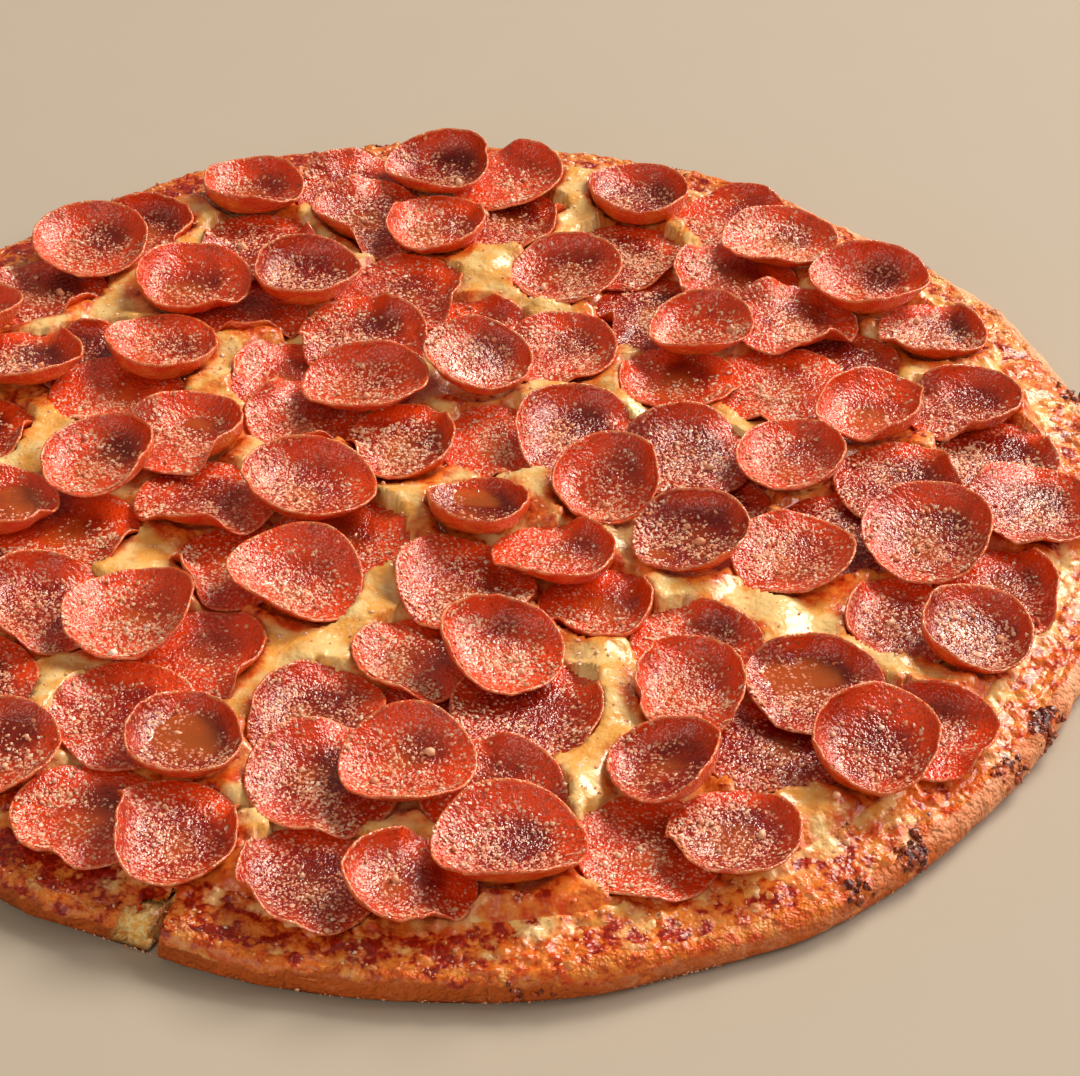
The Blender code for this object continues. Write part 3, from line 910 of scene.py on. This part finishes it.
def makeCheese():
    cell = cheese["cell"]
    steps = np.arange(-0.166, 0.166 + cell, cell)
    x, y = (a.ravel() for a in np.meshgrid(steps, steps, indexing="ij"))
    inset, place = insetAt(x, y), flat(x, y)
    away = nearestSlice(x, y)
    within = ease(inset, cheese["outer"], cheese["outer"] + 0.006)
    rise = cheese["rise"] * ease(away, 0.0010, 0.0070) * (1 + 0.5 * ripples(place, 0.009, 64))
    relief = (layered(place, cheese["lumps"], 60) + rise) * within
    z = np.interp(inset, band["insets"], band["heights"]) + relief
    over = z - readMap(lowMap, place)
    z = z - over / 2 - np.sqrt(over**2 + cheese["round"] ** 2) / 2
    inside = inset > cheese["outer"]
    grid = inside.reshape(len(steps), len(steps))
    whole = grid[:-1, :-1] & grid[1:, :-1] & grid[:-1, 1:] & grid[1:, 1:]
    index = (np.cumsum(inside) - 1).reshape(grid.shape)
    faces = np.stack([index[:-1, :-1], index[1:, :-1], index[1:, 1:], index[:-1, 1:]], axis=-1)[whole]
    near = 1 - ease(inset, 0.015, 0.028)
    values = {
        "brown": 0.12 + 0.4 * near + 0.3 * ripples(place, 0.013, 70)
        + 0.60 * fall(away, 0.0080, 0.0145),
        "red": -0.16 + 0.60 * fall(away, 0.0074, 0.0118) + 0.3 * near
        + 0.16 * ripples(place, 0.008, 71),
        "charAndPaintedShade": 0.25 * near * ease(ripples(place, 0.004, 72), 0.2, 0.7),
        "dust": 0.15 + 0.6 * ripples(place, 0.012, 73),
        "rough": 0.15 + 0.6 * near,
    }
    values = {key: numbers[inside] for key, numbers in values.items()}
    points = np.stack([x, y, z], axis=1)[inside]
    addGround(points)
    addPiece("cheese_layer", points, faces, cheeseLook, values, ["cheese"])


makeCheese()
print("cheese made")


# Pepperoni: each slice as a thin curled cup
cup = {
    "sides": 60,
    "topRows": (0.18, 0.36, 0.54, 0.72, 0.88, 1.0, 1.12, 1.25, 1.38, 1.51, 1.64, 1.76, 1.87, 1.95, 2.0),
    "underRows": (2.0, 1.9, 1.7, 1.45, 1.2, 1.0, 0.5),
    "sunkUnderRows": (2.0, 1.85, 1.6, 1.3, 0.6),
    "rimThickness": 0.00036,
    "middleThickness": 0.0008,
    "ragged": 0.00045,
    "ripple": 0.00042,
    "dusting": (0.30, 1.0),
    "oilShare": 0.14,
    "oilDepth": (0.0005, 0.0012),
    "seed": 31,
}


def behindness(offset):  # 1 at a slice's back right, 0 at its front left
    distance = np.maximum(np.hypot(offset[:, 0], offset[:, 1]), 1e-6)
    return ease((offset[:, 0] * 0.6 + offset[:, 1] * 0.8) / distance, 0.1, 0.8)


def shaded(offset):  # 1 where a slice's back right half lies in its own shade
    return 1 - ease(np.hypot(offset[:, 0] - 0.0038, offset[:, 1] - 0.0046), 0.0035, 0.0095)


def sliceMesh(piece, draw):
    sides = cup["sides"]
    angles = around(sides)
    turn = draw.uniform(0, 100)
    ring = flat(np.cos(angles), np.sin(angles))
    ragged = cup["ragged"] * layered(ring + turn, ((0.7, 1.0), (0.25, 0.6)), 90)
    rows, wall, top, steep = [], [], [], []

    def addPoints(points, high, side, slope):
        rows.append(points)
        wall.append(np.full(len(points), high))
        top.append(np.full(len(points), (side + 1) / 2))
        steep.append(np.zeros(len(points)) + slope)

    def addRow(along, side, beyond=0.0):
        high = np.clip(along - 1, 0, 1)
        slope = curlAt(piece, angles) * high
        half = cup["middleThickness"] + (cup["rimThickness"] - cup["middleThickness"]) * high**1.5
        upWall = flat(np.cos(slope) * np.cos(angles), np.cos(slope) * np.sin(angles))
        upWall[:, 2] = np.sin(slope)
        wave = cup["ripple"] * high * layered(ring * (1 + along) + turn, ((0.55, 1.0), (0.2, 0.35)), 95)
        points = slicePoint(piece, along, angles) + faceNormal(slope, angles) * (side * half + wave)[:, None]
        addPoints(points + upWall * (ragged * high + beyond)[:, None], high, side, slope)

    centrePoint = slicePoint(piece, 0.0, angles[:1])
    addPoints(centrePoint + [0, 0, cup["middleThickness"]], 0.0, 1.0, 0.0)
    for along in cup["topRows"]:
        addRow(along, 1.0)
    for side, beyond in ((0.7, 0.7), (0.0, 1.0), (-0.7, 0.7)):
        addRow(2.0, side, beyond * cup["rimThickness"])
    underRows = cup["underRows" if piece["loose"] else "sunkUnderRows"]
    for along in underRows:
        addRow(along, -1.0)
    addPoints(centrePoint - [0, 0, cup["middleThickness"]], 0.0, -1.0, 0.0)
    points = laidPoints(piece, np.concatenate(rows))
    wall, top, steep = (np.concatenate(part) for part in (wall, top, steep))
    count = len(cup["topRows"]) + 3 + len(underRows)
    faces = [(0, 1 + i, 1 + (i + 1) % sides) for i in range(sides)]
    faces += (gridFaces(count, sides)[:, ::-1] + 1).tolist()
    last, start = len(points) - 1, len(points) - 1 - sides
    faces += [(last, start + (i + 1) % sides, start + i) for i in range(sides)]
    # oil lies level in the bottom of some cups
    oil = np.zeros(len(points))
    if draw.uniform() < cup["oilShare"] and not piece["fold"]:
        topPoints = np.arange(len(points)) < 1 + len(cup["topRows"]) * sides
        level = points[topPoints, 2].min() + draw.uniform(*cup["oilDepth"])
        rim = points[(wall > 0.99) & topPoints, 2].min()
        level = min(level, rim - 0.0005)
        sunk = topPoints & (points[:, 2] < level)
        oil[topPoints] = ease(level - points[topPoints, 2], -0.0001, 0.0004)
        points[sunk, 2] = level
    height = ease(points[:, 2] - points[:, 2].min(), 0.002, 0.011)
    charAndPaintedShade = 0.75 * height * ease(wall, 0.5, 0.95)
    charAndPaintedShade = charAndPaintedShade * ease(layered(points, ((0.006, 0.6), (0.0025, 0.4)), 97), 0.0, 0.6) * draw.uniform(0.2, 1.0)
    offset = points[:, :2] - piece["centre"]
    # painted shade: a dark maroon patch in the back right of each cup, where the cup's own wall shades it, is
    # painted in along with the charred rims
    shade = shaded(offset)
    centre = draw.uniform(0.2, 0.9) * shade * ease(ripples(points, 0.009, 98), -1.0, 0.2)
    # and the middle is wet with orange oil
    wet = 1 - ease(np.hypot(offset[:, 0] + 0.0015, offset[:, 1] + 0.0015), 0.0030, 0.0090)
    wet = wet * ease(ripples(points, 0.008, 99), -0.5, 0.5) * (top > 0.9)
    # walls at the back right are clean, and a painted glow gives them a lighter tone, for light from behind
    # shining through them
    behind = ease(wall, 0.2, 0.7) * behindness(offset)
    clean = np.maximum(behind * ease(steep, 0.2, 0.7), 0.7 * shade)
    values = {
        "wall": wall,
        "top": top,
        "tone": draw.uniform() + 0.5 * behind,
        "oil": np.maximum(oil, 0.75 * wet),
        "charAndPaintedShade": np.maximum(charAndPaintedShade, centre),
        # fewer pale specks in the painted shade patch keep it dark
        "dust": draw.uniform(*cup["dusting"]) * (1 - 0.85 * clean),
    }
    return points, faces, values


def makeSlices():
    draw = np.random.default_rng(cup["seed"])
    number = 0
    sunk = []
    for piece in pepperoni:
        points, faces, values = sliceMesh(piece, draw)
        if piece["loose"]:
            number += 1
            name, node = f"slice_{number:02d}", f"pepperoni_{number:02d}"
            addPiece(name, points, faces, pepperoniLook, values, [node])
        else:
            sunk.append((points, faces, values))
    offset = 0
    faces = []
    for points, own, _ in sunk:
        faces += [tuple(i + offset for i in face) for face in own]
        offset += len(points)
    values = {key: np.concatenate([s[2][key] for s in sunk]) for key in sunk[0][2]}
    addPiece("sunk_slices", np.concatenate([s[0] for s in sunk]), faces, pepperoniLook, values)


makeSlices()
print("slices made")

# Grated cheese: fine grains and coarser crumbs, most of them in the bottoms of the cups
grated = {
    "grains": 44000,
    "grainSize": (0.00024, 0.00056),
    "crumbs": 4400,
    "crumbSize": (0.00032, 0.00062),
    "chunks": 90,
    "chunkSize": (0.0007, 0.0012),
    "onGround": 0.06,
    "groundInset": 0.0022,
    "groundReach": 0.1754,
    "groundSink": 0.00007,
    "cover": 0.0022,
    "seed": 71,
}
# one grain is the top half of a small lump, since its foot is sunk in; a crumb is a whole one
halfLump = np.array([(1, 0, 0), (0, 1, 0), (-1, 0, 0), (0, -1, 0), (0, 0, 0.6)], float)
halfFaces = np.array([(0, 1, 4), (1, 2, 4), (2, 3, 4), (3, 0, 4)])
gold = (1 + math.sqrt(5)) / 2
corners = [(-1, gold, 0), (1, gold, 0), (-1, -gold, 0), (1, -gold, 0)]
lump = np.concatenate([np.roll(corners, turn, axis=1) for turn in range(3)]) / math.hypot(1, gold)
lumpFaces = np.array([(0, 11, 5), (0, 5, 1), (0, 1, 7), (0, 7, 10), (0, 10, 11), (1, 5, 9), (5, 11, 4),
                      (11, 10, 2), (10, 7, 6), (7, 1, 8), (3, 9, 4), (3, 4, 2), (3, 2, 6), (3, 6, 8),
                      (3, 8, 9), (4, 9, 5), (2, 4, 11), (6, 2, 10), (8, 6, 7), (9, 8, 1)])


def scatter(draw, count, onWalls):  # places on the slices that nothing covers, with the way that they face
    share = draw.uniform(0.30, 1.0, len(pepperoni))
    places, normals = [], []
    for piece, amount in zip(pepperoni, share):
        tries = int(count / len(pepperoni) * amount * 5)
        angle = draw.uniform(0, fullTurn, tries)
        along = 2 * np.sqrt(draw.uniform(0, 1, tries))
        slope = curlAt(piece, angle) * np.clip(along - 1, 0, 1)
        normal = faceNormal(slope, angle)
        point = laidPoints(piece, slicePoint(piece, along, angle) + 0.46 * slices["thickness"] * normal)
        normal = turned(normal, piece["lean"])
        clump = 0.12 + 0.88 * ease(ripples(point, 0.0070, 90), -0.4, 0.5)
        offset = point[:, :2] - piece["centre"]
        clean = np.maximum(behindness(offset) * ease(along, 1.2, 1.7), 0.75 * shaded(offset))
        keep = draw.uniform(0, 1, tries) < clump * np.clip(normal[:, 2], 0, 1) ** onWalls * (1 - 0.9 * clean)
        keep &= point[:, 2] > highMap[mapCells(point)] - grated["cover"]
        places.append(point[keep])
        normals.append(normal[keep])
    places, normals = np.concatenate(places), np.concatenate(normals)
    chosen = draw.permutation(len(places))[:int(count * (1 - grated["onGround"]))]
    # and on the cheese and the band between them
    tries = count * 3
    angle, share = draw.uniform(-math.pi, math.pi, tries), draw.uniform(0, 1, tries)
    inset = grated["groundInset"] + grated["groundReach"] * (1 - np.sqrt(share))
    ground = onOutline(angle, inset, 0.0)
    ground[:, 2] = groundMap[mapCells(ground)] - grated["groundSink"]
    bare = draw.uniform(-0.9, 0.5, tries) < ripples(ground, 0.008, 91)
    bare &= ground[:, 2] > highMap[mapCells(ground)]
    ground = ground[bare][:int(count * grated["onGround"])]
    up = np.zeros_like(ground) + [0, 0, 1.0]
    return np.concatenate([places[chosen], ground]), np.concatenate([normals[chosen], up])


def pebbles(draw, form, formFaces, places, normals, sizes):
    count = len(places)
    shape = form[None] * draw.uniform(0.50, 1.45, (count, len(form), 1))
    shape = shape * draw.uniform(0.6, 1.5, (count, 1, 3))
    side = np.cross(normals, draw.normal(size=(count, 3)))
    side /= np.linalg.norm(side, axis=1)[:, None]
    axes = np.stack([side, np.cross(normals, side), normals], axis=1)
    shape = np.einsum("nij,njk->nik", shape, axes) * sizes[:, None, None]
    points = (shape + places[:, None, :]).reshape(-1, 3)
    faces = (formFaces[None] + len(form) * np.arange(count)[:, None, None]).reshape(-1, 3)
    return points, faces


def makeGrated():
    draw = np.random.default_rng(grated["seed"])
    kinds = (("grated_grains", "grain", halfLump, halfFaces, 0.7),
             ("grated_crumbs", "crumb", lump, lumpFaces, 2.0),
             ("cheese_chunks", "chunk", lump, lumpFaces, 6.0))
    for name, kind, form, formFaces, onWalls in kinds:
        places, normals = scatter(draw, grated[kind + "s"], onWalls)
        sizes = draw.uniform(*grated[kind + "Size"], len(places))
        if kind != "grain":
            places = places + normals * (0.25 * sizes)[:, None]
        points, faces = pebbles(draw, form, formFaces, places, normals, sizes)
        tone = np.repeat(draw.uniform(0, 1, len(places)), len(form))
        addPiece(name, points, faces, gratedLook, {"tone": tone})
        print(name, len(faces), "triangles")


makeGrated()

# Burnt bits that hang on the rim, and coarse meal that clings under it
bits = {
    "burnt": 420,
    "burntSize": (0.0004, 0.0011),
    "meal": 900,
    "mealSize": (0.00018, 0.00042),
    "hanging": 0.12,
    "seed": 83,
}


def makeBits():
    draw = np.random.default_rng(bits["seed"])
    angle = draw.uniform(-math.pi, math.pi, bits["burnt"] * 12)
    angle = angle[draw.uniform(0.05, 1, len(angle)) < burntAt(angle)][:bits["burnt"]]
    inset = draw.uniform(-0.0004, 0.0062, len(angle)) * draw.uniform(0.3, 1.0, len(angle))
    height = np.interp(inset, band["insets"], band["heights"]) - 0.0006
    hanging = draw.uniform(0, 1, len(angle)) < bits["hanging"]
    height = np.where(hanging, draw.uniform(0.0030, 0.0075, len(angle)), height)
    inset = np.where(hanging, 0.0, inset)
    places = onOutline(angle, inset, height)
    normals = flat(np.cos(angle), np.sin(angle)) * np.where(hanging, 1.0, 0.25)[:, None]
    normals = normals + np.array([0, 0, 1.0]) * np.where(hanging, 0.2, 1.0)[:, None]
    sizes = draw.uniform(*bits["burntSize"], len(angle))
    points, faces = pebbles(draw, lump, lumpFaces, places, normals, sizes)
    addPiece("burnt_bits", points, faces, burntLook)
    angle = draw.uniform(-math.pi, math.pi, bits["meal"])
    height = draw.uniform(0, 1, len(angle)) ** 1.3 * 0.0026 + 0.0001
    inset = np.interp(height, (0, 0.0006, 0.0014, 0.0023), (0.0024, 0.0015, 0.0007, 0.0002))
    places = onOutline(angle, inset, height)
    normals = flat(np.cos(angle), np.sin(angle)) + np.array([0, 0, 0.01])
    sizes = draw.uniform(*bits["mealSize"], len(angle))
    points, faces = pebbles(draw, halfLump, halfFaces, places, normals, sizes)
    points[:, 2] = np.maximum(points[:, 2], 0)
    tone = np.repeat(draw.uniform(0, 0.7, len(angle)), len(halfLump))
    addPiece("coarse_meal", points, faces, gratedLook, {"tone": tone})


makeBits()
print("grains and bits made")

# Floor, light and camera
room = {
    "floor": 12.0,
    "floorColours": (tint(184, 174, 157), tint(190, 181, 165)),
    "world": tint(255, 236, 214),
    "worldStrength": 0.21,
}


def makeStage():
    half = room["floor"] / 2
    mesh = bpy.data.meshes.new("floor")
    corners = [(x * half, y * half, 0) for x, y in ((-1, -1), (1, -1), (1, 1), (-1, 1))]
    mesh.from_pydata(corners, [], [(0, 1, 2, 3)])
    look = Finish("pale floor", Roughness=0.75)
    look.wear(Base_Color=look.mix(look.noise(0.03, 1) * 0.25, *room["floorColours"]))
    mesh.materials.append(look.material)
    floor = addObject("floor", mesh)
    world = bpy.data.worlds.new("room")
    world.use_nodes = True
    background = world.node_tree.nodes["Background"]
    background.inputs[0].default_value = (*room["world"], 1)
    background.inputs[1].default_value = room["worldStrength"]
    bpy.context.scene.world = world


lamps = (
    {"name": "key", "place": (3.70, 4.30, 4.50), "size": 2.80, "power": 525, "colour": (1.0, 0.90, 0.78)},
    {"name": "side", "place": (2.30, 0.35, 1.50), "size": 1.50, "power": 42, "colour": (1.0, 0.93, 0.90)},
    {"name": "fill", "place": (-1.2, -1.7, 1.3), "size": 1.6, "power": 16, "colour": (1.0, 0.88, 0.76)},
)


def makeLamps():
    for lamp in lamps:
        data = bpy.data.lights.new(lamp["name"], "AREA")
        data.size = lamp["size"]
        data.energy = lamp["power"]
        data.color = lamp["colour"]
        made = addObject(lamp["name"], data)
        made.location = lamp["place"]
        made.rotation_euler = (-Vector(lamp["place"])).to_track_quat("-Z", "Y").to_euler()


camera = {
    "place": Vector((0, -0.69168, 0.54335)),
    "target": Vector((0.0226, -0.0080, 0)),
    "roll": math.radians(0.667),
    "lens": 110.0,
    "sensor": 36.0,
}


def makeCamera():
    data = bpy.data.cameras.new("camera")
    data.lens, data.sensor_width = camera["lens"], camera["sensor"]
    data.clip_start, data.clip_end = 0.01, 20
    made = addObject("camera", data)
    turn = (camera["target"] - camera["place"]).to_track_quat("-Z", "Y").to_matrix().to_4x4()
    made.matrix_world = Matrix.Translation(camera["place"]) @ turn @ Matrix.Rotation(camera["roll"], 4, "Z")
    bpy.context.scene.camera = made


makeStage()
makeLamps()
makeCamera()
bpy.context.scene.view_settings.view_transform = "Standard"
print("stage, lamps and camera made")
